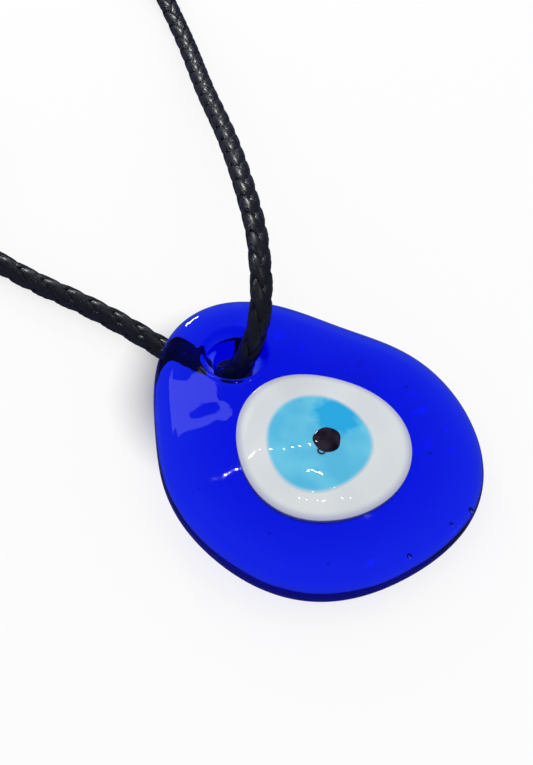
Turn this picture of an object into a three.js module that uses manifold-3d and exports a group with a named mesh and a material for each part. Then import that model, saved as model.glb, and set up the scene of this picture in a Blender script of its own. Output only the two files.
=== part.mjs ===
// Evil eye ornament: a drop of cobalt glass with a fused eye, hung on a braided cord.
// Millimetres, +Z up. It lies face up on a surface at z = 0, with the drop's tip towards +Y.
// The origin is at the middle of the glass, on that surface.
import * as THREE from "three";
import { mergeVertices } from "three/addons/utils/BufferGeometryUtils.js";
import Module from "manifold-3d";

const wasm = await Module();
wasm.setup();

// Driving dimensions
const CORD_D = 3;
const GAP = 0.3;
const GLASS_THICK = 6.2;
const GLASS_LENGTH = 44.4;
const RIM_R = 2.4;
const TILT = THREE.MathUtils.degToRad(5.3);
const HOLE = { x: 0.2, y: 13, neck: 2.4, lip: 4.2, back: 3.7 };
const WHITE = { x: -0.5, y: -4.3, r: 10.1, thick: 1.5, crown: 0.3 };
const IRIS = { x: -0.8, y: -3.7, r: 6.25, thick: 0.8, crown: 0.2 };
const PUPIL = { x: 0.1, y: -3.9, r: 1.7, thick: 0.45, crown: 0.1 };
const COIL = { x: -16, y: 86, outer: 21.1, inner: 11 };
const CAP = { outer: 2.2, inner: 1.8, depth: 5, length: 6 };
const WIRE_R = 0.4;
const LOOP_R = 1.1;
const LINK = { r: 1.25, stretch: 0.75, count: 8 };
const PLAY = 0.15;

const CORD_R = CORD_D / 2;
const FULL_TURN = Math.PI * 2;

// The glass outline: radius about its centre at an angle from +X, counterclockwise.
// The first line of terms is the even drop, the second its hand-made unevenness.
const OUTLINE = { x: -0.04, y: -1.67, r: 20.1 };
function outlineRadius(a) {
  const drop = 0.18 * Math.sin(a) - 1.65 * Math.cos(2 * a) - 1.18 * Math.sin(3 * a)
    + 0.4 * Math.cos(4 * a) + 0.31 * Math.sin(5 * a);
  const uneven = 0.06 * Math.cos(a) - 0.07 * Math.sin(2 * a) - 0.21 * Math.cos(3 * a)
    - 0.12 * Math.sin(4 * a) + 0.16 * Math.cos(5 * a);
  return OUTLINE.r + drop + uneven;
}

// The cord's route, from the coil under the glass, up through the hole, over the tip and away.
const CORD_RUN = [
  [-4.4, 65.6, 1.55],
  [-7.6, 62.8, 1.55],
  [-9.8, 59.2, 1.55],
  [-10.5, 55.0, 1.55],
  [-9.8, 50.2, 1.55],
  [-8.1, 43.8, 1.55],
  [-6.0, 37.6, 1.55],
  [-4.2, 31.3, 1.55],
  [-2.9, 25.4, 1.55],
  [-2.1, 21.4, 1.55],
  [-1.4, 18.4, 1.55],
  [-0.7, 15.6, 2.05],
  [0.1, 13.3, 3.9],
  [1.2, 12.3, 6.4],
  [2.7, 12.1, 9.2],
  [4.7, 13.2, 11.5],
  [7.2, 15.8, 12.9],
  [9.6, 18.9, 13.5],
  [12.4, 22.8, 13.5],
  [17.1, 30.5, 12.4],
  [24.2, 42.8, 9.2],
  [31.8, 57.4, 5.0],
  [38.9, 71.0, 2.2],
  [43.9, 82.6, 1.7],
  [45.5, 87.3, 2.2],
  [47.0, 91.8, 2.3],
  [48.2, 95.4, 2.3],
];
// The cord's other end, from the top of the coil, over its turns and down to the chain's cap.
const CORD_TAIL = [
  [-17.0, 98.4, 4.8],
  [-22.5, 98.8, 4.8],
  [-28.0, 98.9, 4.8],
  [-33.5, 98.0, 4.7],
  [-38.0, 95.4, 3.9],
  [-40.6, 91.4, 2.8],
  [-41.3, 87.2, 2.3],
  [-41.3, 84.6, 2.3],
  [-41.3, 82.0, 2.3],
];

// Materials
function material(color, roughness, metalness = 0, extra = {}) {
  return new THREE.MeshStandardMaterial({ color, roughness, metalness, ...extra });
}
const cobaltGlass = material(0x0818d0, 0.06, 0, { transparent: true, opacity: 0.8 });
const whiteGlass = material(0xdfe2e6, 0.12);
const skyGlass = material(0x52b8e2, 0.12);
const darkGlass = material(0x120c1c, 0.12);
const waxedCord = material(0x14151f, 0.45);
const steel = material(0xc9ccd1, 0.22, 1);

// Solids: three.js geometry to manifold and back, for the cuts and joins
function solidOf(geometry) {
  const bare = geometry.clone();
  bare.deleteAttribute("normal");
  bare.deleteAttribute("uv");
  const merged = mergeVertices(bare, 1e-4);
  return new wasm.Manifold(new wasm.Mesh({
    numProp: 3,
    vertProperties: new Float32Array(merged.attributes.position.array),
    triVerts: new Uint32Array(merged.index.array),
  }));
}

function geometryOf(solid) {
  const mesh = solid.getMesh();
  const geometry = new THREE.BufferGeometry();
  geometry.setAttribute("position", new THREE.BufferAttribute(mesh.vertProperties, 3));
  geometry.setIndex(new THREE.BufferAttribute(mesh.triVerts, 1));
  geometry.computeVertexNormals();
  return geometry;
}

// A solid of revolution about +Z, from a profile of [radius, height] going up
function lathe(profile, segments) {
  const points = profile.map(([r, z]) => new THREE.Vector2(r, z));
  return new THREE.LatheGeometry(points, segments).rotateX(Math.PI / 2);
}

function wireRing(radius, wire = WIRE_R, around = 24) {
  return new THREE.TorusGeometry(radius, wire, 8, around);
}

function circleShape(radius, sides) {
  const points = [];
  for (let i = 0; i < sides; i++) {
    const a = (i / sides) * FULL_TURN;
    points.push(new THREE.Vector2(radius * Math.cos(a), radius * Math.sin(a)));
  }
  return new THREE.Shape(points);
}

function tube(points, radius, sides, steps) {
  const path = new THREE.CatmullRomCurve3(points.map((p) => new THREE.Vector3(...p)));
  return new THREE.ExtrudeGeometry(circleShape(radius, sides), { steps, extrudePath: path });
}

function piece(name, geometry, finish) {
  const mesh = new THREE.Mesh(geometry, finish);
  mesh.name = name;
  return mesh;
}

// The glass: a lens of revolution with a flat back and a round rim, drawn out to the outline
const NOMINAL_R = 20;
function lensProfile() {
  const profile = [[0, 0], [NOMINAL_R - RIM_R, 0]];
  const rimSteps = 7;
  for (let i = 1; i <= rimSteps; i++) {
    const a = -Math.PI / 2 + (i / rimSteps) * THREE.MathUtils.degToRad(168);
    profile.push([NOMINAL_R - RIM_R + RIM_R * Math.cos(a), RIM_R + RIM_R * Math.sin(a)]);
  }
  const [edgeR, edgeZ] = profile.at(-1);
  const domeSteps = 5;
  for (let i = 1; i < domeSteps; i++) {
    const s = 1 - i / domeSteps;
    profile.push([edgeR * s, edgeZ + (GLASS_THICK - edgeZ) * (1 - s * s)]);
  }
  profile.push([0, GLASS_THICK]);
  return profile;
}

function drawToOutline(geometry) {
  const flat = NOMINAL_R - RIM_R;
  const p = geometry.attributes.position;
  for (let i = 0; i < p.count; i++) {
    const a = Math.atan2(p.getY(i), p.getX(i));
    const r = Math.hypot(p.getX(i), p.getY(i));
    const reach = outlineRadius(a) - NOMINAL_R;
    const stretched = r < flat ? r * (1 + reach / flat) : r + reach;
    p.setXY(i, OUTLINE.x + stretched * Math.cos(a), OUTLINE.y + stretched * Math.sin(a));
  }
  return geometry;
}

// The height of the lens top at a point of the pendant
function topAt(x, y) {
  const a = Math.atan2(y - OUTLINE.y, x - OUTLINE.x);
  const s = Math.hypot(x - OUTLINE.x, y - OUTLINE.y) / (outlineRadius(a) - RIM_R);
  return GLASS_THICK - (GLASS_THICK - 2 * RIM_R) * Math.min(s, 1) ** 2;
}

// The hole's cutter: a bowl in the front that narrows to a neck, and a soft lip on the back
function holeCutter() {
  const top = topAt(HOLE.x, HOLE.y);
  const profile = [
    [0, -1],
    [HOLE.back + 0.5, -1],
    [HOLE.back, 0],
    [HOLE.neck + 0.3, 0.7],
    [HOLE.neck, 1.4],
    [HOLE.neck + 0.5, 2.3],
    [HOLE.lip - 0.7, 3.3],
    [HOLE.lip - 0.3, 4.3],
    [HOLE.lip, top],
    [HOLE.lip + 0.5, top + 1],
    [0, top + 1],
  ];
  return lathe(profile, 28).translate(HOLE.x, HOLE.y, 0);
}

// A disc of the eye: flat below, crowned above, set down into what carries it
function disc(at, top, segments, grow = 0) {
  const bottom = top - at.thick - grow;
  const r = at.r + grow;
  const profile = [
    [0, bottom],
    [r - 0.3, bottom],
    [r, bottom + 0.3],
    [r, top],
    [r * 0.9, top + at.crown * 0.6],
    [r * 0.5, top + at.crown * 0.9],
    [0, top + at.crown],
  ];
  if (grow > 0) {
    profile.splice(3, 4, [r, top + 2], [0, top + 2]);
  }
  return lathe(profile, segments).translate(at.x, at.y, 0);
}

const whiteTop = topAt(WHITE.x + WHITE.r * 0.8, WHITE.y) + 0.1;
const irisTop = whiteTop + WHITE.crown * 0.9;
const pupilTop = irisTop + IRIS.crown * 0.9;

const glassSolid = solidOf(drawToOutline(lathe(lensProfile(), 72)))
  .subtract(solidOf(holeCutter()))
  .subtract(solidOf(disc(WHITE, whiteTop, 48, GAP)));
const whiteSolid = solidOf(disc(WHITE, whiteTop, 48))
  .subtract(solidOf(disc(IRIS, irisTop, 40, GAP)));
const irisSolid = solidOf(disc(IRIS, irisTop, 40))
  .subtract(solidOf(disc(PUPIL, pupilTop, 24, GAP / 2)));

const pendant = new THREE.Group();
pendant.add(
  piece("glass_drop", geometryOf(glassSolid), cobaltGlass),
  piece("eye_white", geometryOf(whiteSolid), whiteGlass),
  piece("eye_iris", geometryOf(irisSolid), skyGlass),
  piece("eye_pupil", disc(PUPIL, pupilTop, 24), darkGlass),
);
// The far rim rests on the surface, and the tip leans on the cord below it.
pendant.rotation.x = TILT;
pendant.position.set(
  0,
  RIM_R * Math.sin(TILT),
  RIM_R * (1 - Math.cos(TILT)) + (GLASS_LENGTH / 2 - RIM_R) * Math.sin(TILT),
);

// The cord: the run through the glass, the coil of its spare length, and the tail
function coilRing() {
  const edge = 0.9;
  const profile = [
    [COIL.inner, edge],
    [COIL.inner + edge, 0],
    [COIL.outer - edge, 0],
    [COIL.outer, edge],
    [COIL.outer, CORD_D - edge],
    [COIL.outer - edge, CORD_D],
    [COIL.inner + edge, CORD_D],
    [COIL.inner, CORD_D - edge],
    [COIL.inner, edge],
  ];
  return lathe(profile, 48).translate(COIL.x, COIL.y, 0);
}

const cord = new THREE.Group();
cord.add(
  piece("cord_run", tube(CORD_RUN, CORD_R, 8, 78), waxedCord),
  piece("cord_coil", coilRing(), waxedCord),
  piece("cord_tail", tube(CORD_TAIL, CORD_R, 8, 14), waxedCord),
);

// An end cap along +X: a cup for the cord's end, with a wire loop on its closed end
const CAP_LOOP_X = CAP.length + LOOP_R - 0.2;
function capGeometry(roll) {
  const cup = lathe([
    [0, CAP.depth],
    [CAP.inner, CAP.depth],
    [CAP.inner, 0],
    [CAP.outer, 0],
    [CAP.outer, CAP.length - 0.7],
    [CAP.outer - 0.7, CAP.length],
    [0, CAP.length],
  ], 24).rotateY(Math.PI / 2);
  const loop = wireRing(LOOP_R).rotateX(roll).translate(CAP_LOOP_X, 0, 0);
  return geometryOf(solidOf(cup).add(solidOf(loop)));
}

// Fittings are built along +X, from the cord's end, and turned to the cord's heading.
function fittings(end, before) {
  const group = new THREE.Group();
  const heading = Math.atan2(end[1] - before[1], end[0] - before[0]);
  group.rotation.z = heading;
  group.position.set(end[0], end[1], end[2]);
  return group;
}
const CAP_MOUTH_X = -(CAP.depth - GAP);
const WIRE_STEP = 2 * WIRE_R + PLAY;

// Clasp end: cap, jump ring standing on edge, and a lobster clasp lying flat
const CLASP_RING_R = 2.3;
const claspEnd = fittings(CORD_RUN.at(-1), CORD_RUN.at(-2));
const claspHeight = CORD_RUN.at(-1)[2];
const claspRingZ = CLASP_RING_R + WIRE_R + 0.05 - claspHeight;
const claspCap = piece("clasp_cap", capGeometry(0), steel);
claspCap.position.x = CAP_MOUTH_X;
const claspLoopEndX = CAP_MOUTH_X + CAP_LOOP_X + LOOP_R;
const claspRing = piece("clasp_ring", wireRing(CLASP_RING_R, WIRE_R, 28), steel);
const claspRingX = claspLoopEndX - WIRE_STEP + Math.sqrt(CLASP_RING_R ** 2 - claspRingZ ** 2);
claspRing.rotation.x = Math.PI / 2;
claspRing.position.set(claspRingX, 0, claspRingZ);

// The clasp in its own plane: the eye's centre at the origin, the hook towards +X
const CLASP_THICK = 2.6;
const EYE_HOLE_R = 1.15;
const EYE_R = 1.95;
const EYE_THICK = 0.8;
const LEVER_THICK = 1;
const PIVOT = { x: 4, y: 1.7, r: 0.35 };

function plate(shape, thick, bevel = 0) {
  const geometry = new THREE.ExtrudeGeometry(shape, {
    depth: thick - 2 * bevel,
    bevelEnabled: bevel > 0,
    bevelThickness: bevel,
    bevelSize: bevel,
    bevelOffset: -bevel,
    bevelSegments: 2,
    curveSegments: 10,
  });
  return geometry.translate(0, 0, -thick / 2 + bevel);
}

function claspBodyGeometry() {
  const hook = new THREE.Shape();
  hook.moveTo(1.2, -1);
  hook.bezierCurveTo(3, -3.4, 6.5, -3.6, 9, -3.2);
  hook.bezierCurveTo(12.4, -2.6, 13, 1.6, 10.9, 2.9);
  hook.bezierCurveTo(10.4, 3.2, 9.9, 2.9, 10, 2.4);
  hook.bezierCurveTo(11.4, 0.8, 10.6, -1.2, 8.8, -1.5);
  hook.bezierCurveTo(7.4, -1.7, 6.2, -1, 6.1, 0.6);
  hook.lineTo(6.1, 2.4);
  hook.bezierCurveTo(5, 3.2, 2.6, 3.2, 1.2, 1);
  hook.closePath();
  const eye = circleShape(EYE_R, 24);
  const slot = new THREE.BoxGeometry(4.4, 4.4, LEVER_THICK + 0.4).translate(5.2, 2.6, 0);
  const pinHole = new THREE.CylinderGeometry(PIVOT.r + 0.05, PIVOT.r + 0.05, 4, 16)
    .rotateX(Math.PI / 2)
    .translate(PIVOT.x, PIVOT.y, 0);
  const eyeHole = new THREE.CylinderGeometry(EYE_HOLE_R, EYE_HOLE_R, 4, 24).rotateX(Math.PI / 2);
  return geometryOf(solidOf(plate(hook, CLASP_THICK, 0.35))
    .add(solidOf(plate(eye, EYE_THICK)))
    .subtract(solidOf(slot))
    .subtract(solidOf(pinHole))
    .subtract(solidOf(eyeHole)));
}

function leverGeometry() {
  const arm = new THREE.Shape();
  arm.moveTo(3.3, 1.3);
  arm.lineTo(4.6, 0.9);
  arm.lineTo(9.5, 1.7);
  arm.lineTo(9.5, 2.7);
  arm.lineTo(5.2, 2.6);
  arm.lineTo(4.7, 4.1);
  arm.lineTo(3.9, 4.1);
  arm.lineTo(3.4, 2.4);
  arm.closePath();
  const bore = new THREE.CylinderGeometry(PIVOT.r + 0.06, PIVOT.r + 0.06, 4, 16)
    .rotateX(Math.PI / 2)
    .translate(PIVOT.x, PIVOT.y, 0);
  return geometryOf(solidOf(plate(arm, LEVER_THICK)).subtract(solidOf(bore)));
}

const pinGeometry = new THREE.CylinderGeometry(PIVOT.r, PIVOT.r, CLASP_THICK - 0.1, 16)
  .rotateX(Math.PI / 2)
  .translate(PIVOT.x, PIVOT.y, 0);
const springGeometry = tube([[4.4, 0.62, 0], [5, 0.55, 0], [5.6, 0.68, 0]], 0.08, 8, 6);

const clasp = new THREE.Group();
const claspZ = CLASP_THICK / 2 + 0.1 - claspHeight;
const ringDrop = claspRingZ - claspZ;
const claspX = claspRingX + Math.sqrt(CLASP_RING_R ** 2 - ringDrop ** 2);
clasp.position.set(claspX, 0, claspZ);
clasp.add(
  piece("clasp_hook", claspBodyGeometry(), steel),
  piece("clasp_lever", leverGeometry(), steel),
  piece("clasp_pin", pinGeometry, steel),
  piece("clasp_spring", springGeometry, steel),
);
claspEnd.add(claspCap, claspRing, clasp);

// Chain end: cap, jump ring, links turned a quarter turn from each other, and a ball drop
const EIGHTH = Math.PI / 4;
const CHAIN_RING_R = 1.6;
const BALL_R = 1.6;
const chainEnd = fittings(CORD_TAIL.at(-1), CORD_TAIL.at(-2));
chainEnd.rotation.z = -Math.PI / 2;
const chainCap = piece("chain_cap", capGeometry(EIGHTH), steel);
chainCap.position.x = CAP_MOUTH_X;
let wireEndX = CAP_MOUTH_X + CAP_LOOP_X + LOOP_R;

function hangOn(name, geometry, halfLength, roll) {
  const mesh = piece(name, geometry, steel);
  mesh.rotation.x = roll;
  mesh.position.x = wireEndX - WIRE_STEP + halfLength;
  wireEndX = mesh.position.x + halfLength;
  return mesh;
}

// A link is a ring whose two halves are drawn apart.
function linkGeometry() {
  const geometry = wireRing(LINK.r, WIRE_R, 20);
  const p = geometry.attributes.position;
  for (let i = 0; i < p.count; i++) {
    const x = p.getX(i);
    if (Math.abs(x) > 1e-4) {
      p.setX(i, x + Math.sign(x) * LINK.stretch);
    }
  }
  return geometry;
}

function dropGeometry() {
  const ball = new THREE.SphereGeometry(BALL_R, 20, 12).translate(LOOP_R + BALL_R + 0.2, 0, 0);
  return geometryOf(solidOf(wireRing(LOOP_R)).add(solidOf(ball)));
}

chainEnd.add(chainCap, hangOn("chain_ring", wireRing(CHAIN_RING_R), CHAIN_RING_R, -EIGHTH));
for (let i = 1; i <= LINK.count; i++) {
  const roll = i % 2 ? EIGHTH : -EIGHTH;
  chainEnd.add(hangOn(`chain_link_${i}`, linkGeometry(), LINK.r + LINK.stretch, roll));
}
chainEnd.add(hangOn("chain_drop", dropGeometry(), LOOP_R, EIGHTH));

const ornament = new THREE.Group();
ornament.add(pendant, cord, claspEnd, chainEnd);

export default ornament;
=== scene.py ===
"""Evil eye ornament: a drop of cobalt glass with a fused eye, on a braided waxed cord.

The drop lies face up on its back, the cord goes through its hole, and the cord's ends
carry a lobster clasp and a short chain. Metres, +Z up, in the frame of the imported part.
"""
import math

import bmesh
import bpy
import numpy as np
from mathutils import Matrix, Vector, noise


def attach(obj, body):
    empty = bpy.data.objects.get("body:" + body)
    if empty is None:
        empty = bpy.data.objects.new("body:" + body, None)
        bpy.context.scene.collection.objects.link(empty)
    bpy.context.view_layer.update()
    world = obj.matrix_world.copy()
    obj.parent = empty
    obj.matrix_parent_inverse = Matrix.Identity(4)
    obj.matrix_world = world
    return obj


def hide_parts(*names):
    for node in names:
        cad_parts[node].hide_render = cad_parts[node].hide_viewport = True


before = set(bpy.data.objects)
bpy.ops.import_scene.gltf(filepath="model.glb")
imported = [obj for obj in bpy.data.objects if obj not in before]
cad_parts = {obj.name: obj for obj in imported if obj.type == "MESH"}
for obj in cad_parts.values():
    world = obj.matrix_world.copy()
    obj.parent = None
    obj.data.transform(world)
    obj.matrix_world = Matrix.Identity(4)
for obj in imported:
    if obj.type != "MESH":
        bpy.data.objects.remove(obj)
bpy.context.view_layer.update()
MM = 0.001
FULL_TURN = 2 * math.pi

# Driving dimensions, in millimetres, as the frame has them
CORD_D = 3.0
GLASS_THICK = 6.2
RIM_R = 2.4
GLASS_HALF = 22.2
TILT = math.radians(5.3)
HOLE = {"x": 0.2, "y": 13.0, "neck": 2.4, "lip": 4.2, "back": 3.7}
# Each gather of the eye: centre, radius, and its uneven edge as (turns, cosine, sine) terms
WHITE = {"x": -0.52, "y": -3.87, "r": 10.29, "edge": [(2, -0.17, -0.17), (3, -0.03, -0.3), (4, 0.06, 0.03)]}
IRIS = {"x": -0.93, "y": -3.55, "r": 6.8, "edge": [(2, 0, 0.25), (3, -0.07, -0.2), (4, -0.05, 0.03)]}
PUPIL = {"x": 0.05, "y": -4.0, "r": 1.86, "edge": [(2, 0.02, 0.06), (3, 0.05, 0.03), (5, 0.03, -0.03)]}
COIL = {"x": -16.0, "y": 86.0, "r": 19.6, "z": 1.5}

CORD_RUN = [
    (-4.4, 65.6, 1.55), (-7.6, 62.8, 1.55), (-9.8, 59.2, 1.55), (-10.5, 55.0, 1.55),
    (-9.8, 50.2, 1.55), (-8.1, 43.8, 1.55), (-6.0, 37.6, 1.55), (-4.2, 31.3, 1.55),
    (-2.9, 25.4, 1.55), (-2.1, 21.4, 1.55), (-1.4, 18.4, 1.55), (-0.7, 15.6, 2.05),
    (0.1, 13.3, 3.9), (1.2, 12.3, 6.4), (2.7, 12.1, 9.2), (4.7, 13.2, 11.5),
    (7.2, 15.8, 12.9), (9.6, 18.9, 13.5), (12.4, 22.8, 13.5), (17.1, 30.5, 12.4), (24.2, 42.8, 9.2),
    (31.8, 57.4, 5.0), (38.9, 71.0, 2.2), (43.9, 82.6, 1.7), (45.5, 87.3, 2.2),
    (47.0, 91.8, 2.3), (48.2, 95.4, 2.3),
]
CORD_TAIL = [
    (-17.0, 98.4, 4.8), (-22.5, 98.8, 4.8), (-28.0, 98.9, 4.8), (-33.5, 98.0, 4.7),
    (-38.0, 95.4, 3.9), (-40.6, 91.4, 2.8), (-41.3, 87.2, 2.3), (-41.3, 84.6, 2.3),
    (-41.3, 82.0, 2.3),
]


def smoothstep(low, high, value):
    """0 below low, 1 above high, and a smooth rise between them."""
    t = min(max((value - low) / (high - low), 0.0), 1.0)
    return t * t * (3 - 2 * t)


# ---------------------------------------------------------------- camera
def make_camera():
    data = bpy.data.cameras.new("camera")
    data.lens = 70
    data.sensor_width = 36
    data.clip_start = 0.01
    data.clip_end = 10
    camera = bpy.data.objects.new("camera", data)
    bpy.context.scene.collection.objects.link(camera)
    location = Vector((-74.76, -80.38, 146.21)) * MM
    target = Vector((4.75, 11.99, -0.21)) * MM
    camera.location = location
    camera.rotation_euler = (target - location).to_track_quat("-Z", "Y").to_euler()
    bpy.context.scene.camera = camera


make_camera()


# ---------------------------------------------------------------- helpers for pieces
def finished(name, bm, material, body, node=(), smooth=True):
    """A bmesh in millimetres becomes a piece of the ornament, in metres."""
    bmesh.ops.scale(bm, vec=(MM, MM, MM), verts=bm.verts)
    for face in bm.faces:
        face.smooth = smooth
    mesh = bpy.data.meshes.new(name)
    bm.to_mesh(mesh)
    bm.free()
    piece = bpy.data.objects.new(name, mesh)
    bpy.context.scene.collection.objects.link(piece)
    mesh.materials.append(material)
    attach(piece, body)
    if node:
        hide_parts(*node)
    return piece


def outward(bm):
    bmesh.ops.recalc_face_normals(bm, faces=bm.faces)


def profile_edges(bm, points, closed=False):
    """A chain of edges through points (x, y, z)."""
    verts = [bm.verts.new(p) for p in points]
    pairs = list(zip(verts, verts[1:]))
    if closed:
        pairs.append((verts[-1], verts[0]))
    return verts, [bm.edges.new(pair) for pair in pairs]


def lathe(profile, steps, closed=False):
    """A solid of revolution about Z from a profile of (radius, height)."""
    bm = bmesh.new()
    verts, edges = profile_edges(bm, [(r, 0, z) for r, z in profile], closed)
    bmesh.ops.spin(
        bm, geom=verts + edges, cent=(0, 0, 0), axis=(0, 0, 1), dvec=(0, 0, 0),
        angle=FULL_TURN, steps=steps, use_merge=True,
    )
    bmesh.ops.remove_doubles(bm, verts=bm.verts, dist=1e-5)
    outward(bm)
    return bm


# ---------------------------------------------------------------- materials
def new_material(name):
    material = bpy.data.materials.new(name)
    material.use_nodes = True
    tree = material.node_tree
    return material, tree, tree.nodes["Principled BSDF"]


def node(tree, kind, inputs=None, **settings):
    made = tree.nodes.new(kind)
    for key, value in settings.items():
        setattr(made, key, value)
    for key, value in (inputs or {}).items():
        if isinstance(value, bpy.types.NodeSocket):
            tree.links.new(value, made.inputs[key])
        else:
            made.inputs[key].default_value = value
    return made


def place_mm(tree, scale=(1, 1, 1)):
    """Object coordinates in millimetres, stretched by scale."""
    coords = node(tree, "ShaderNodeTexCoord")
    stretch = tuple(s / MM for s in scale)
    mapping = node(tree, "ShaderNodeMapping", {"Vector": coords.outputs["Object"], "Scale": stretch})
    return mapping.outputs["Vector"]


def surface_group():
    """Fire-polished or cast unevenness: a soft height, a fine height and a patchy mask."""
    group = bpy.data.node_groups.new("uneven_surface", "ShaderNodeTree")
    face = group.interface
    face.new_socket("Place", in_out="INPUT", socket_type="NodeSocketVector")
    for name, default in (("Broad", 0.3), ("Fine", 3.0), ("Strength", 0.1)):
        socket = face.new_socket(name, in_out="INPUT", socket_type="NodeSocketFloat")
        socket.default_value = default
    face.new_socket("Normal", in_out="OUTPUT", socket_type="NodeSocketVector")
    face.new_socket("Patches", in_out="OUTPUT", socket_type="NodeSocketFloat")
    way_in = group.nodes.new("NodeGroupInput")
    way_out = group.nodes.new("NodeGroupOutput")
    broad = node(group, "ShaderNodeTexNoise", {"Vector": way_in.outputs["Place"],
                                               "Scale": way_in.outputs["Broad"], "Detail": 1.5})
    fine = node(group, "ShaderNodeTexNoise", {"Vector": way_in.outputs["Place"],
                                              "Scale": way_in.outputs["Fine"], "Detail": 3.0})
    height = node(group, "ShaderNodeMix", {"Factor": 0.25, "A": broad.outputs["Fac"],
                                           "B": fine.outputs["Fac"]})
    bump = node(group, "ShaderNodeBump", {"Height": height.outputs["Result"], "Distance": 0.0004,
                                          "Strength": way_in.outputs["Strength"]})
    patches = node(group, "ShaderNodeMapRange", {"Value": broad.outputs["Fac"], "From Min": 0.35,
                                                 "From Max": 0.65})
    group.links.new(bump.outputs["Normal"], way_out.inputs["Normal"])
    group.links.new(patches.outputs["Result"], way_out.inputs["Patches"])
    return group


UNEVEN = surface_group()


def uneven(tree, broad, fine, strength):
    made = tree.nodes.new("ShaderNodeGroup")
    made.node_tree = UNEVEN
    tree.links.new(place_mm(tree), made.inputs["Place"])
    made.inputs["Broad"].default_value = broad
    made.inputs["Fine"].default_value = fine
    made.inputs["Strength"].default_value = strength
    return made


CHILLED = (10.0, 2.5, 6.0)


def cobalt_glass():
    """Clear cobalt glass: the colour is in its depth, so it pales where the glass is thin."""
    material, tree, shader = new_material("cobalt_glass")
    shader.inputs["Base Color"].default_value = (0.93, 0.95, 1.0, 1)
    shader.inputs["Transmission Weight"].default_value = 1
    shader.inputs["Roughness"].default_value = 0.02
    shader.inputs["IOR"].default_value = 1.5
    surface = uneven(tree, 0.35, 1.2, 0.012)
    curls = node(tree, "ShaderNodeTexNoise", {"Vector": place_mm(tree, (1, 0.7, 1)), "Scale": 0.9,
                                              "Detail": 2.0, "Distortion": 2.5})
    off_line = node(tree, "ShaderNodeMath", {0: curls.outputs["Fac"], 1: 0.5, 2: 0.012},
                    operation="COMPARE")
    spread = node(tree, "ShaderNodeVectorMath", {0: place_mm(tree), 1: CHILLED}, operation="DISTANCE")
    chilled = node(tree, "ShaderNodeMapRange", {"Value": spread.outputs["Value"], "From Min": 4.5,
                                                "From Max": 8.5, "To Min": 0.5, "To Max": 0.0})
    wrinkles = node(tree, "ShaderNodeBump", {"Height": off_line.outputs["Value"], "Distance": 0.00018,
                                             "Strength": chilled.outputs["Result"],
                                             "Normal": surface.outputs["Normal"]})
    tree.links.new(wrinkles.outputs["Normal"], shader.inputs["Normal"])
    clear = tree.nodes.new("ShaderNodeBsdfTransparent")
    light = tree.nodes.new("ShaderNodeLightPath")
    mix = node(tree, "ShaderNodeMixShader", {0: light.outputs["Is Shadow Ray"]})
    clear.inputs["Color"].default_value = (0.14, 0.22, 1.0, 1)
    tree.links.new(shader.outputs["BSDF"], mix.inputs[1])
    tree.links.new(clear.outputs["BSDF"], mix.inputs[2])
    depth = node(tree, "ShaderNodeVolumeAbsorption", {"Color": (0.0, 0.2, 0.957, 1), "Density": 980.0})
    out = tree.nodes["Material Output"]
    tree.links.new(mix.outputs["Shader"], out.inputs["Surface"])
    tree.links.new(depth.outputs["Volume"], out.inputs["Volume"])
    return material


def fused_glass(name, tones, broad, rim, patch=None):
    """Opaque glass in two streaky tones, bleeding to a third at its rim; patch is a deeper dab. On the
    white, the rim tone is painted shade of its rolled-over edge, darker and bluer.
    """
    material, tree, shader = new_material(name)
    surface = uneven(tree, broad, 1.2, 0.006)
    tone = node(tree, "ShaderNodeMix", {"Factor": surface.outputs["Patches"]}, data_type="RGBA")
    tone.inputs["A"].default_value = (*tones[1], 1)
    tone.inputs["B"].default_value = (*tones[0], 1)
    disc = node(tree, "ShaderNodeUVMap", uv_map="disc")
    if patch:
        spot = node(tree, "ShaderNodeVectorMath", {0: disc.outputs["UV"], 1: (*patch["at"], 0)},
                    operation="DISTANCE")
        ragged = node(tree, "ShaderNodeTexNoise", {"Vector": place_mm(tree), "Scale": 0.9, "Detail": 2.0})
        far = node(tree, "ShaderNodeMath", {0: ragged.outputs["Fac"], 1: 0.3, 2: spot.outputs["Value"]},
                   operation="MULTIPLY_ADD")
        dab = node(tree, "ShaderNodeMapRange", {"Value": far.outputs["Value"], "From Min": 0.45,
                                                "From Max": 0.62, "To Min": 1.0, "To Max": 0.0})
        deep = node(tree, "ShaderNodeMix", {"Factor": dab.outputs["Result"]}, data_type="RGBA")
        tree.links.new(tone.outputs["Result"], deep.inputs["A"])
        deep.inputs["B"].default_value = (*patch["tone"], 1)
        tone = deep
    # Towards the rim the tone turns to the rim colour: a bleed of glass colours on the iris, and painted
    # shade of the rolled edge on the white.
    reach = node(tree, "ShaderNodeVectorMath", {0: disc.outputs["UV"]}, operation="LENGTH")
    bleed_and_edge_shade = node(tree, "ShaderNodeMapRange", {"Value": reach.outputs["Value"], "From Min": rim["from"],
                                              "From Max": 1.0}, interpolation_type="SMOOTHSTEP")
    edged = node(tree, "ShaderNodeMix", {"Factor": bleed_and_edge_shade.outputs["Result"]}, data_type="RGBA")
    tree.links.new(tone.outputs["Result"], edged.inputs["A"])
    edged.inputs["B"].default_value = (*rim["tone"], 1)
    tree.links.new(edged.outputs["Result"], shader.inputs["Base Color"])
    tree.links.new(surface.outputs["Normal"], shader.inputs["Normal"])
    shader.inputs["Roughness"].default_value = 0.015
    shader.inputs["IOR"].default_value = 1.5
    return material


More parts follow.
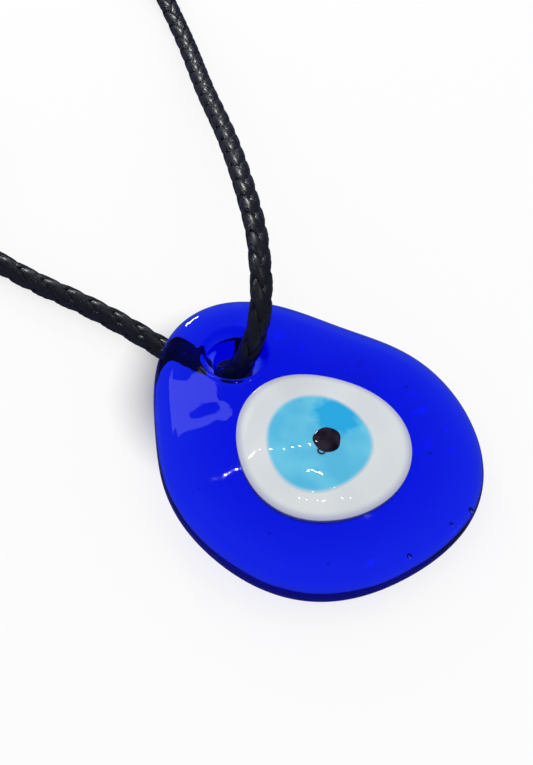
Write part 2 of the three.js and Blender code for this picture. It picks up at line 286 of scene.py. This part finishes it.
def waxed_braid():
    """Black waxed polyester: filaments along each strand, and wax that shines in patches."""
    material, tree, shader = new_material("waxed_braid")
    uv = node(tree, "ShaderNodeUVMap", uv_map="strand")
    along = node(tree, "ShaderNodeMapping", {"Vector": uv.outputs["UV"], "Scale": (0.35, 16.0, 1.0)})
    hairs = node(tree, "ShaderNodeTexNoise", {"Vector": along.outputs["Vector"], "Scale": 1.0,
                                              "Detail": 3.0, "Roughness": 0.6})
    wax = node(tree, "ShaderNodeTexNoise", {"Vector": place_mm(tree), "Scale": 1.3, "Detail": 4.0,
                                            "Roughness": 0.65})
    bump = node(tree, "ShaderNodeBump", {"Height": hairs.outputs["Fac"], "Distance": 0.00012,
                                         "Strength": 1.0})
    tree.links.new(bump.outputs["Normal"], shader.inputs["Normal"])
    tone = node(tree, "ShaderNodeMix", {"Factor": hairs.outputs["Fac"]}, data_type="RGBA")
    tone.inputs["A"].default_value = (0.0016, 0.002, 0.006, 1)
    tone.inputs["B"].default_value = (0.010, 0.012, 0.028, 1)
    tree.links.new(tone.outputs["Result"], shader.inputs["Base Color"])
    rough = node(tree, "ShaderNodeMapRange", {"Value": wax.outputs["Fac"], "From Min": 0.35,
                                              "From Max": 0.65, "To Min": 0.2, "To Max": 0.5})
    tree.links.new(rough.outputs["Result"], shader.inputs["Roughness"])
    shader.inputs["Coat Weight"].default_value = 0.5
    shader.inputs["Coat Roughness"].default_value = 0.25
    return material


def nickel():
    """Bright nickel plate, lightly handled."""
    material, tree, shader = new_material("nickel_plate")
    surface = uneven(tree, 0.8, 9.0, 0.08)
    tone = node(tree, "ShaderNodeMix", {"Factor": surface.outputs["Patches"]}, data_type="RGBA")
    tone.inputs["A"].default_value = (0.62, 0.61, 0.59, 1)
    tone.inputs["B"].default_value = (0.78, 0.78, 0.77, 1)
    tree.links.new(tone.outputs["Result"], shader.inputs["Base Color"])
    rough = node(tree, "ShaderNodeMapRange", {"Value": surface.outputs["Patches"], "To Min": 0.14,
                                              "To Max": 0.26})
    tree.links.new(rough.outputs["Result"], shader.inputs["Roughness"])
    tree.links.new(surface.outputs["Normal"], shader.inputs["Normal"])
    shader.inputs["Metallic"].default_value = 0.7
    return material


COBALT = cobalt_glass()
# The white's rim tone is painted shade: the gather darkens and blues where its edge rolls over.
WHITE_GLASS = fused_glass("white_glass", ((0.66, 0.69, 0.71), (0.61, 0.645, 0.675)), 0.16,
                          {"from": 0.9, "tone": (0.42, 0.43, 0.56)})
SKY_GLASS = fused_glass("sky_glass", ((0.14, 0.53, 0.74), (0.09, 0.45, 0.69)), 0.3,
                        {"from": 0.88, "tone": (0.63, 0.67, 0.70)},
                        {"at": (0.62, 0.2), "tone": (0.022, 0.37, 0.70)})
DARK_GLASS = fused_glass("dark_glass", ((0.024, 0.017, 0.030), (0.004, 0.003, 0.007)), 0.8,
                         {"from": 0.85, "tone": (0.06, 0.03, 0.10)})
WAXED = waxed_braid()
NICKEL = nickel()


# ---------------------------------------------------------------- the cord
def coil_points():
    """The spare length: a flat spiral, whose inner end climbs to cross over the turns."""
    points = []
    for degrees in [-45] + list(range(-30, 810, 24)):
        a = math.radians(degrees)
        r = COIL["r"] - CORD_D * (degrees + 40) / 360
        if degrees == -45:
            r += 1.35
        z = COIL["z"] + 3.3 * smoothstep(740, 812, degrees)
        points.append((COIL["x"] + r * math.cos(a), COIL["y"] + r * math.sin(a), z))
    return points


def catmull_rom(points, per_span=24):
    """A centripetal Catmull-Rom curve through the points, finely sampled."""
    p = np.array(points, float)
    p = np.vstack([2 * p[0] - p[1], p, 2 * p[-1] - p[-2]])
    t = np.linspace(0, 1, per_span, endpoint=False)[:, None]
    sampled = []
    for p0, p1, p2, p3 in zip(p, p[1:], p[2:], p[3:]):
        d0, d1, d2 = (math.sqrt(np.linalg.norm(b - a)) for a, b in ((p0, p1), (p1, p2), (p2, p3)))
        m1 = ((p1 - p0) / d0 - (p2 - p0) / (d0 + d1) + (p2 - p1) / d1) * d1
        m2 = ((p2 - p1) / d1 - (p3 - p1) / (d1 + d2) + (p3 - p2) / d2) * d1
        sampled.append(p1 + m1 * t + (3 * (p2 - p1) - 2 * m1 - m2) * t**2
                       + (2 * (p1 - p2) + m1 + m2) * t**3)
    return np.vstack(sampled + [p[-2:-1]])


class Route:
    """A line of even steps, with a frame that turns with it as little as it can."""

    def __init__(self, points, step):
        line = catmull_rom(points)
        run = np.concatenate([[0], np.cumsum(np.linalg.norm(np.diff(line, axis=0), axis=1))])
        self.length = run[-1]
        self.s = np.linspace(0, self.length, int(self.length / step) + 1)
        self.line = np.column_stack([np.interp(self.s, run, line[:, k]) for k in range(3)])
        ahead = np.gradient(self.line, axis=0)
        ahead /= np.linalg.norm(ahead, axis=1)[:, None]
        side = np.cross(ahead[0], (0, 0, 1))
        sides = []
        for heading in ahead:
            side = side - heading * np.dot(side, heading)
            side /= np.linalg.norm(side)
            sides.append(side)
        self.side = np.array(sides)
        self.up = np.cross(self.side, ahead)

    def lay(self, verts, twist=0.0):
        """Bend verts that stand along Z onto the line; twist turns them slowly about it."""
        co = np.array([v.co for v in verts])
        place = [np.interp(co[:, 2], self.s, self.line[:, k]) for k in range(3)]
        side = np.column_stack([np.interp(co[:, 2], self.s, self.side[:, k]) for k in range(3)])
        up = np.column_stack([np.interp(co[:, 2], self.s, self.up[:, k]) for k in range(3)])
        turn = twist * co[:, 2]
        x = co[:, 0] * np.cos(turn) - co[:, 1] * np.sin(turn)
        y = co[:, 0] * np.sin(turn) + co[:, 1] * np.cos(turn)
        laid = np.column_stack(place) + side * x[:, None] + up * y[:, None]
        for vert, spot in zip(verts, laid):
            vert.co = spot


ROUTE = Route(list(reversed(CORD_RUN[1:])) + [CORD_RUN[0]] + coil_points() + CORD_TAIL, 0.5)

STRANDS = 4
LEADS = 29
LEAD = ROUTE.length / LEADS
BRAID_R = 1.12
WEAVE = 0.13
STRAND_WIDE = 1.68
STEPS_PER_LEAD = 32
TWIST = 0.01


def strand_section():
    """Across one flat strand: (across, height) round its closed outline, in millimetres."""
    half = STRAND_WIDE / 2
    top = [(half * x, 0.2 * (1 - abs(x) ** 4)) for x in (-1, -0.85, -0.5, 0, 0.5, 0.85, 1)]
    bottom = [(0.5 * half, -0.17), (-0.5 * half, -0.17)]
    return top + bottom


def add_strand(bm, uv, hand, start):
    """One turn of a strand round the braid, over two of the other hand and under two."""
    slope = math.atan(FULL_TURN * BRAID_R / LEAD)
    section = strand_section()
    points = []
    for across, height in section:
        a = start + hand * across * math.cos(slope) / BRAID_R
        r = BRAID_R + height
        points.append((r * math.cos(a), r * math.sin(a), -across * math.sin(slope)))
    first = len(bm.verts)
    verts, edges = profile_edges(bm, points, closed=True)
    bmesh.ops.spin(
        bm, geom=verts + edges, cent=(0, 0, 0), axis=(0, 0, 1), dvec=(0, 0, LEAD / STEPS_PER_LEAD),
        angle=hand * FULL_TURN, steps=STEPS_PER_LEAD, use_merge=False,
    )
    bm.verts.ensure_lookup_table()
    bm.verts.index_update()
    count = len(section)
    for vert in bm.verts[first:]:
        a = start + hand * FULL_TURN * ((vert.index - first) // count) / STEPS_PER_LEAD
        over = hand * math.cos(2 * (a - FULL_TURN / 16))
        shift = WEAVE * math.tanh(2.2 * over) / math.tanh(2.2)
        radius = math.hypot(vert.co.x, vert.co.y)
        grown = (radius + shift) / radius
        vert.co.x *= grown
        vert.co.y *= grown
    for face in bm.faces:
        if face.verts[0].index < first:
            continue
        spots = [(loop.vert.index - first) % count for loop in face.loops]
        wraps = max(spots) - min(spots) > count / 2
        for loop, spot in zip(face.loops, spots):
            step = (loop.vert.index - first) // count
            across = spot + count if wraps and spot < count / 2 else spot
            loop[uv].uv = (step * LEAD / STEPS_PER_LEAD, across / count * 2 + start * 7 + hand * 3)


def repeated(bm, count, rise):
    """The same shape, count times over, each rise above the last and joined to it."""
    mesh = bpy.data.meshes.new("one_lead")
    bm.to_mesh(mesh)
    bm.free()
    one = bpy.data.objects.new("one_lead", mesh)
    bpy.context.scene.collection.objects.link(one)
    array = one.modifiers.new("leads", "ARRAY")
    array.count = count
    array.use_relative_offset = False
    array.use_constant_offset = True
    array.constant_offset_displace = (0, 0, rise)
    array.use_merge_vertices = True
    array.merge_threshold = 0.002
    array.offset_u = rise
    depsgraph = bpy.context.evaluated_depsgraph_get()
    whole = bpy.data.meshes.new_from_object(one.evaluated_get(depsgraph))
    long_bm = bmesh.new()
    long_bm.from_mesh(whole)
    bpy.data.objects.remove(one)
    return long_bm


def make_cord():
    bm = bmesh.new()
    uv = bm.loops.layers.uv.new("strand")
    for hand in (1, -1):
        for k in range(STRANDS):
            add_strand(bm, uv, hand, FULL_TURN * k / STRANDS)
    core = bmesh.ops.create_circle(bm, segments=10, radius=0.86)["verts"]
    ring = core + list({e for v in core for e in v.link_edges})
    bmesh.ops.spin(bm, geom=ring, cent=(0, 0, 0), axis=(0, 0, 1), dvec=(0, 0, LEAD / 12),
                   angle=0, steps=12)
    bm = repeated(bm, LEADS, LEAD)
    bmesh.ops.holes_fill(bm, edges=[e for e in bm.edges if e.is_boundary], sides=0)
    outward(bm)
    for vert in bm.verts:
        vert.co.z = min(max(vert.co.z, 0.0), ROUTE.length)
    ROUTE.lay(list(bm.verts), TWIST)
    return finished("braided_cord", bm, WAXED, "cord",
                    ("cord_run", "cord_coil", "cord_tail"))


braided_cord = make_cord()

# ---------------------------------------------------------------- the glass
OUTLINE = {"x": -0.04, "y": -1.67, "r": 20.1}


def outline_radius(a):
    """The drop's edge: radius about its centre at an angle from +X."""
    drop = (0.18 * np.sin(a) - 1.65 * np.cos(2 * a) - 1.18 * np.sin(3 * a)
            + 0.4 * np.cos(4 * a) + 0.31 * np.sin(5 * a))
    hand_made = (0.06 * np.cos(a) - 0.07 * np.sin(2 * a) - 0.21 * np.cos(3 * a)
                 - 0.12 * np.sin(4 * a) + 0.16 * np.cos(5 * a))
    return OUTLINE["r"] + drop + hand_made


def edge_distance(x, y):
    """How far a point lies inside the drop's edge, along the radius."""
    a = np.arctan2(y - OUTLINE["y"], x - OUTLINE["x"])
    return outline_radius(a) - np.hypot(x - OUTLINE["x"], y - OUTLINE["y"])


def top_at(x, y):
    """The height of the glass's domed front."""
    a = np.arctan2(y - OUTLINE["y"], x - OUTLINE["x"])
    s = np.hypot(x - OUTLINE["x"], y - OUTLINE["y"]) / (outline_radius(a) - RIM_R)
    return GLASS_THICK - (GLASS_THICK - 2 * RIM_R) * np.minimum(s, 1) ** 2


LIE_FLAT = (
    Matrix.Translation((0, RIM_R * math.sin(TILT),
                        RIM_R * (1 - math.cos(TILT)) + (GLASS_HALF - RIM_R) * math.sin(TILT)))
    @ Matrix.Rotation(TILT, 4, "X")
)


def reach_to(u, inset):
    """The distance from the hole's centre, at angle u, to where the edge is inset away."""
    low = np.zeros_like(u)
    high = np.full_like(u, 45.0)
    for _ in range(36):
        middle = (low + high) / 2
        inside = edge_distance(HOLE["x"] + middle * np.cos(u), HOLE["y"] + middle * np.sin(u)) > inset
        low = np.where(inside, middle, low)
        high = np.where(inside, high, middle)
    return low


BUBBLES = [
    (5.0, -20.2, 3.0, 0.22), (-1.8, -20.3, 3.4, 0.3), (13.9, -3.4, 3.6, 0.2), (9.2, -12.3, 4.2, 0.24),
    (8.3, -19.9, 2.6, 0.34), (-12.0, -8.0, 2.0, 0.14), (3.5, 17.2, 2.6, 0.13), (-14.5, 1.5, 2.4, 0.12),
    (12.5, 3.2, 2.2, 0.12), (-9.5, -15.2, 2.6, 0.15),
]


def add_bubbles(bm):
    """Air caught in the glass: small closed voids, so their faces look inwards."""
    for x, y, z, r in BUBBLES:
        made = bmesh.ops.create_uvsphere(bm, u_segments=16, v_segments=10, radius=r)["verts"]
        bmesh.ops.scale(bm, vec=(1, 1, 0.7), verts=made)
        bmesh.ops.translate(bm, vec=(x, y, z), verts=made)
        bmesh.ops.reverse_faces(bm, faces=list({f for v in made for f in v.link_faces}))


def make_glass():
    """A ring round the hole, drawn out to the drop: throat, front, rim and back."""
    around = 360
    face_steps, rim_steps = 44, 20
    u = np.linspace(0, FULL_TURN, around, endpoint=False)
    rows = []

    def row(rho, height):
        x, y = HOLE["x"] + rho * np.cos(u), HOLE["y"] + rho * np.sin(u)
        rows.append((x, y, height(x, y) if callable(height) else np.full_like(u, height)))

    bowl = catmull_rom([(HOLE["neck"], 1.3, 0), (HOLE["neck"] + 0.38, 2.2, 0), (3.35, 3.2, 0),
                        (HOLE["lip"] - 0.36, 4.35, 0), (HOLE["lip"] - 0.1, 4.98, 0),
                        (HOLE["lip"] + 0.15, 5.22, 0), (HOLE["lip"] + 0.45, 5.24, 0), (5.0, 5.2, 0)], 6)
    inner = reach_to(u, RIM_R)
    for rho, height, _ in bowl[:-1]:
        row(np.full_like(u, rho), lambda x, y, drop=height - 5.2: top_at(x, y) + drop)
    for i in range(face_steps):
        row(5.0 + (inner - 5.0) * i / face_steps, top_at)
    for i in range(rim_steps + 1):
        g = math.pi / 2 - math.pi * i / rim_steps
        row(reach_to(u, RIM_R * (1 - math.cos(g))), RIM_R + RIM_R * math.sin(g))
    for i in range(1, face_steps):
        row(HOLE["back"] + (inner - HOLE["back"]) * (1 - i / face_steps), 0)
    back_steps = 12
    for i in range(back_steps + 1):
        b = math.pi / 2 * (1 - i / back_steps)
        row(np.full_like(u, HOLE["back"] - (HOLE["back"] - HOLE["neck"]) * math.cos(b)),
            1.2 * (1 - math.sin(b)))

    bm = bmesh.new()
    section = [(HOLE["neck"] + 1 + math.cos(FULL_TURN * i / len(rows)), 0,
                math.sin(FULL_TURN * i / len(rows))) for i in range(len(rows))]
    verts, edges = profile_edges(bm, section, closed=True)
    bmesh.ops.spin(bm, geom=verts + edges, cent=(0, 0, 0), axis=(0, 0, 1), dvec=(0, 0, 0),
                   angle=FULL_TURN, steps=around, use_merge=True)
    bm.verts.ensure_lookup_table()
    count = len(rows)
    for i, vert in enumerate(bm.verts):
        x, y, z = (row[i // count] for row in rows[i % count])
        swell = noise.noise(Vector((x, y, z)) * 0.16 + Vector((7, 3, 1)))
        ripple = noise.noise(Vector((x, y, z)) * 0.45 + Vector((1, 5, 9)))
        inside = smoothstep(0.2, 4, float(edge_distance(x, y)))
        away = smoothstep(3, 8, math.hypot(x - HOLE["x"], y - HOLE["y"]))
        lift = (0.07 * swell + 0.012 * ripple) * inside * away
        z = z - abs(lift) if z > GLASS_THICK / 2 else z + abs(lift)
        vert.co = (x, y, z)
    outward(bm)
    add_bubbles(bm)
    bmesh.ops.transform(bm, matrix=LIE_FLAT, verts=bm.verts)
    return finished("cobalt_drop", bm, COBALT, "pendant", ("glass_drop",))


make_glass()


def eye_disc(name, at, thick, proud, roll, material, cad_node, rows=30, around=160):
    """A gather of glass pressed into what lies under it: flat below, its top rolled down to its edge."""
    inner = at["r"] - roll
    profile = [(0.0, -thick)] + [(at["r"] * i / 6, -thick) for i in range(1, 6)]
    profile += [(at["r"] - 0.3 + 0.3 * math.sin(a), -thick + 0.3 - 0.3 * math.cos(a))
                for a in (0, math.pi / 4, math.pi / 2)]
    profile += [(inner + roll * math.cos(a), proud * math.sin(a))
                for a in (math.pi / 2 * i / 10 for i in range(11))]
    profile += [(inner * (1 - i / rows), proud) for i in range(1, rows)]
    profile.append((0.0, proud))
    bm = lathe(profile, around)
    uv = bm.loops.layers.uv.new("disc")
    for face in bm.faces:
        for loop in face.loops:
            loop[uv].uv = loop.vert.co.xy / at["r"]
    for vert in bm.verts:
        r = math.hypot(vert.co.x, vert.co.y)
        a = math.atan2(vert.co.y, vert.co.x)
        edge = sum(c * math.cos(n * a) + d * math.sin(n * a) for n, c, d in at["edge"])
        grown = 1 + edge / at["r"] * min(r / at["r"], 1)
        x = at["x"] + vert.co.x * grown
        y = at["y"] + vert.co.y * grown
        z = vert.co.z
        if z > 0:
            z += 0.04 * noise.noise(Vector((x, y, 3)) * 0.25) * smoothstep(0, 2, WHITE["r"] - r)
        vert.co = (x, y, float(top_at(x, y)) + z)
    bmesh.ops.transform(bm, matrix=LIE_FLAT, verts=bm.verts)
    return finished(name, bm, material, "pendant", (cad_node,))


eye_disc("white_gather", WHITE, 1.5, 0.28, 2.8, WHITE_GLASS, "eye_white")
eye_disc("sky_gather", IRIS, 0.9, 0.31, 0.4, SKY_GLASS, "eye_iris")
dark_gather = eye_disc("dark_gather", PUPIL, 0.5, 0.42, 0.5, DARK_GLASS, "eye_pupil", 12, 64)


def add_tail(piece, turn_at, radius, thread):
    """The thread of glass that the rod left as it pulled away from the pupil."""
    bm = bmesh.new()
    bm.from_mesh(piece.data)
    bmesh.ops.scale(bm, vec=(1 / MM, 1 / MM, 1 / MM), verts=bm.verts)
    section = [(radius + thread * math.cos(a), 0, 0.6 * thread * math.sin(a))
               for a in (FULL_TURN * i / 10 for i in range(10))]
    verts, edges = profile_edges(bm, section, closed=True)
    first = len(bm.verts) - len(verts)
    bmesh.ops.spin(bm, geom=verts + edges, cent=(0, 0, 0), axis=(0, 0, 1), dvec=(0, 0, 0),
                   angle=math.radians(300), steps=30)
    bm.verts.ensure_lookup_table()
    thread_verts = bm.verts[first:]
    ends = [e for e in bm.edges if e.is_boundary]
    bmesh.ops.holes_fill(bm, edges=ends, sides=0)
    place = LIE_FLAT @ Matrix.Translation((*turn_at, float(top_at(*turn_at)) + 0.36))
    bmesh.ops.transform(bm, matrix=place @ Matrix.Rotation(0.9, 4, "Z"), verts=thread_verts)
    outward(bm)
    bmesh.ops.scale(bm, vec=(MM, MM, MM), verts=bm.verts)
    for face in bm.faces:
        face.smooth = True
    bm.to_mesh(piece.data)
    bm.free()


add_tail(dark_gather, (-1.5, -4.75), 0.42, 0.1)


# ---------------------------------------------------------------- the fittings
def lie_of(cad_node):
    """Where a ring or link lies: its centre, its long way, and the way it faces."""
    co = np.array([v.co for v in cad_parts[cad_node].data.vertices]) / MM
    centre = (co.min(0) + co.max(0)) / 2
    _, axes = np.linalg.eigh(np.cov((co - co.mean(0)).T))
    long_way, facing = Vector(axes[:, 2]), Vector(axes[:, 0])
    turn = Matrix((long_way, facing.cross(long_way), facing)).transposed().to_4x4()
    return Matrix.Translation(Vector(centre)) @ turn


def wire_ring(name, body, radius, wire, stretch=0.0):
    """A ring of round wire with its butt joint; a link is one whose halves are drawn apart."""
    bm = bmesh.new()
    gap = 0.012
    section = [(radius + wire * math.cos(a), 0, wire * math.sin(a))
               for a in (FULL_TURN * i / 16 for i in range(16))]
    verts, edges = profile_edges(bm, section, closed=True)
    for vert in verts:
        vert.co = Matrix.Rotation(math.pi / 2 + gap, 4, "Z") @ vert.co
    bmesh.ops.spin(bm, geom=verts + edges, cent=(0, 0, 0), axis=(0, 0, 1), dvec=(0, 0, 0),
                   angle=FULL_TURN - 2 * gap, steps=64)
    bmesh.ops.holes_fill(bm, edges=[e for e in bm.edges if e.is_boundary], sides=0)
    for vert in bm.verts:
        vert.co.x += stretch * max(min(vert.co.x / (0.35 * radius), 1), -1)
    bmesh.ops.transform(bm, matrix=lie_of(name), verts=bm.verts)
    outward(bm)
    finished(name + "_wire", bm, NICKEL, body, (name,))
    return name + "_wire"


def cast_from(name, body, voxel=0.09, passes=4):
    """A cast and plated piece: the part's own solid, its edges softened and its joins filled."""
    bm = bmesh.new()
    bm.from_mesh(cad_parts[name].data)
    bmesh.ops.scale(bm, vec=(1 / MM, 1 / MM, 1 / MM), verts=bm.verts)
    bmesh.ops.remove_doubles(bm, verts=bm.verts, dist=1e-3)
    mesh = bpy.data.meshes.new("blank")
    bm.to_mesh(mesh)
    bm.free()
    blank = bpy.data.objects.new("blank", mesh)
    bpy.context.scene.collection.objects.link(blank)
    remesh = blank.modifiers.new("skin", "REMESH")
    remesh.mode = "VOXEL"
    remesh.voxel_size = voxel
    soften = blank.modifiers.new("soften", "SMOOTH")
    soften.factor = 0.5
    soften.iterations = passes
    depsgraph = bpy.context.evaluated_depsgraph_get()
    skin = bpy.data.meshes.new_from_object(blank.evaluated_get(depsgraph))
    bpy.data.objects.remove(blank)
    bm = bmesh.new()
    bm.from_mesh(skin)
    finished(name + "_cast", bm, NICKEL, body, (name,))
    return name + "_cast"


LINKS = [f"chain_link_{i}" for i in range(1, 9)]
on_cord = [
    cast_from("clasp_cap", "cord"),
    wire_ring("clasp_ring", "clasp_ring", 2.3, 0.4),
    cast_from("clasp_hook", "clasp", passes=7),
    cast_from("clasp_lever", "clasp_lever", 0.06, 3),
    cast_from("chain_cap", "cord"),
    wire_ring("chain_ring", "chain_ring", 1.6, 0.4),
    cast_from("chain_drop", "chain_drop"),
]
on_cord += [wire_ring(link, link, 1.25, 0.4, 0.75) for link in LINKS]
for name in ("clasp_pin", "clasp_spring"):
    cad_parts[name].data.materials.clear()
    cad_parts[name].data.materials.append(NICKEL)
    on_cord.append(name)


# ---------------------------------------------------------------- floor and light
def make_floor():
    bm = bmesh.new()
    bmesh.ops.create_grid(bm, x_segments=1, y_segments=1, size=3.0)
    mesh = bpy.data.meshes.new("floor")
    bm.to_mesh(mesh)
    bm.free()
    floor = bpy.data.objects.new("floor", mesh)
    bpy.context.scene.collection.objects.link(floor)
    material, tree, shader = new_material("floor_paper")
    shader.inputs["Roughness"].default_value = 0.9
    shader.inputs["Specular IOR Level"].default_value = 0.1
    bright = node(tree, "ShaderNodeEmission", {"Color": (1, 1, 1, 1), "Strength": 1.0})
    # Painted shade: reflections see this dark bluish copy of the floor instead of the lit one.
    floor_shaded_for_reflections = node(tree, "ShaderNodeBsdfDiffuse", {"Color": (0.07, 0.08, 0.13, 1)})
    light = tree.nodes.new("ShaderNodeLightPath")
    # Painted shadow: round the hole the floor's colour turns dark blue and its glow for camera rays fades
    # out, standing in for the blue shade that falls under the glass.
    place = node(tree, "ShaderNodeVectorMath", {0: node(tree, "ShaderNodeTexCoord").outputs["Object"],
                                                1: (0.0002, 0.0135, 0.0)}, operation="DISTANCE")
    outside_painted_shadow = node(tree, "ShaderNodeMapRange", {"Value": place.outputs["Value"], "From Min": 0.007,
                                                   "From Max": 0.016, "To Max": 0.8})
    paper_with_painted_shadow = node(tree, "ShaderNodeMix", {"Factor": outside_painted_shadow.outputs["Result"]}, data_type="RGBA")
    paper_with_painted_shadow.inputs["A"].default_value = (0.01, 0.012, 0.05, 1)
    paper_with_painted_shadow.inputs["B"].default_value = (1, 1, 1, 1)
    tree.links.new(paper_with_painted_shadow.outputs["Result"], shader.inputs["Base Color"])
    seen = node(tree, "ShaderNodeMath", {0: light.outputs["Is Camera Ray"],
                                         1: outside_painted_shadow.outputs["Result"]}, operation="MULTIPLY")
    through = node(tree, "ShaderNodeMath", {0: seen.outputs["Value"],
                                            1: light.outputs["Is Transmission Ray"]}, operation="MAXIMUM")
    lit = node(tree, "ShaderNodeMixShader", {0: through.outputs["Value"]})
    tree.links.new(shader.outputs["BSDF"], lit.inputs[1])
    tree.links.new(bright.outputs["Emission"], lit.inputs[2])
    # Glossy rays that are not transmission rays get the painted-shade copy of the floor.
    mirrored = node(tree, "ShaderNodeMath", {0: light.outputs["Is Glossy Ray"],
                                             1: light.outputs["Is Transmission Ray"]},
                    operation="SUBTRACT", use_clamp=True)
    mix = node(tree, "ShaderNodeMixShader", {0: mirrored.outputs["Value"]})
    tree.links.new(lit.outputs["Shader"], mix.inputs[1])
    tree.links.new(floor_shaded_for_reflections.outputs["BSDF"], mix.inputs[2])
    tree.links.new(mix.outputs["Shader"], tree.nodes["Material Output"].inputs["Surface"])
    mesh.materials.append(material)


def make_world():
    """Even white light for matt surfaces, and a darker room for reflections."""
    world = bpy.data.worlds.new("studio")
    world.use_nodes = True
    bpy.context.scene.world = world
    tree = world.node_tree
    tree.nodes.clear()
    out = tree.nodes.new("ShaderNodeOutputWorld")
    bright = node(tree, "ShaderNodeBackground", {"Color": (1, 1, 1, 1), "Strength": 1.0})
    dim = node(tree, "ShaderNodeBackground", {"Color": (0.75, 0.85, 1, 1), "Strength": 0.05})
    light = tree.nodes.new("ShaderNodeLightPath")
    mirrored = node(tree, "ShaderNodeMath", {0: light.outputs["Is Glossy Ray"],
                                             1: light.outputs["Is Transmission Ray"]},
                    operation="SUBTRACT", use_clamp=True)
    mix = node(tree, "ShaderNodeMixShader", {0: mirrored.outputs["Value"]})
    tree.links.new(bright.outputs["Background"], mix.inputs[1])
    tree.links.new(dim.outputs["Background"], mix.inputs[2])
    tree.links.new(mix.outputs["Shader"], out.inputs["Surface"])


def area_light(name, location, target, size, power, color=(1, 1, 1)):
    data = bpy.data.lights.new(name, "AREA")
    data.shape = "RECTANGLE"
    data.size, data.size_y = size
    data.energy = power
    data.color = color
    lamp = bpy.data.objects.new(name, data)
    lamp.location = location
    lamp.rotation_euler = (Vector(target) - Vector(location)).to_track_quat("-Z", "Y").to_euler()
    bpy.context.scene.collection.objects.link(lamp)


make_floor()
make_world()
def lamp_strip(name, start, end, count, power):
    """A row of small bare lamps, whose images lie as sparks on the glass and the wax."""
    for i in range(count):
        data = bpy.data.lights.new(f"{name}_{i + 1}", "POINT")
        data.energy = power
        data.shadow_soft_size = 0.0009
        lamp = bpy.data.objects.new(data.name, data)
        stray = noise.noise_vector(Vector((3.1 * i, 40 * start[0], 0.5))) * 0.002
        lamp.location = Vector(start).lerp(Vector(end), i / (count - 1)) + stray
        bpy.context.scene.collection.objects.link(lamp)


lamp_strip("left_strip", (0.026, 0.114, 0.284), (0.060, 0.100, 0.281), 7, 0.008)
lamp_strip("long_strip", (0.066, 0.098, 0.280), (0.122, 0.075, 0.271), 6, 0.008)
lamp_strip("near_strip", (0.057, 0.040, 0.295), (0.106, 0.004, 0.285), 7, 0.009)
lamp_strip("edge_strip", (0.094, 0.056, 0.276), (0.104, 0.046, 0.274), 5, 0.008)
area_light("haze_panel", (0.048, 0.164, 0.260), (-0.008, 0.012, 0.008), (0.055, 0.03), 0.006, (0.8, 0.88, 1))
area_light("far_panel", (0.135, 0.355, 0.155), (0.03, 0.055, 0.005), (0.05, 0.05), 0.32)
bpy.context.scene.view_settings.view_transform = "Standard"
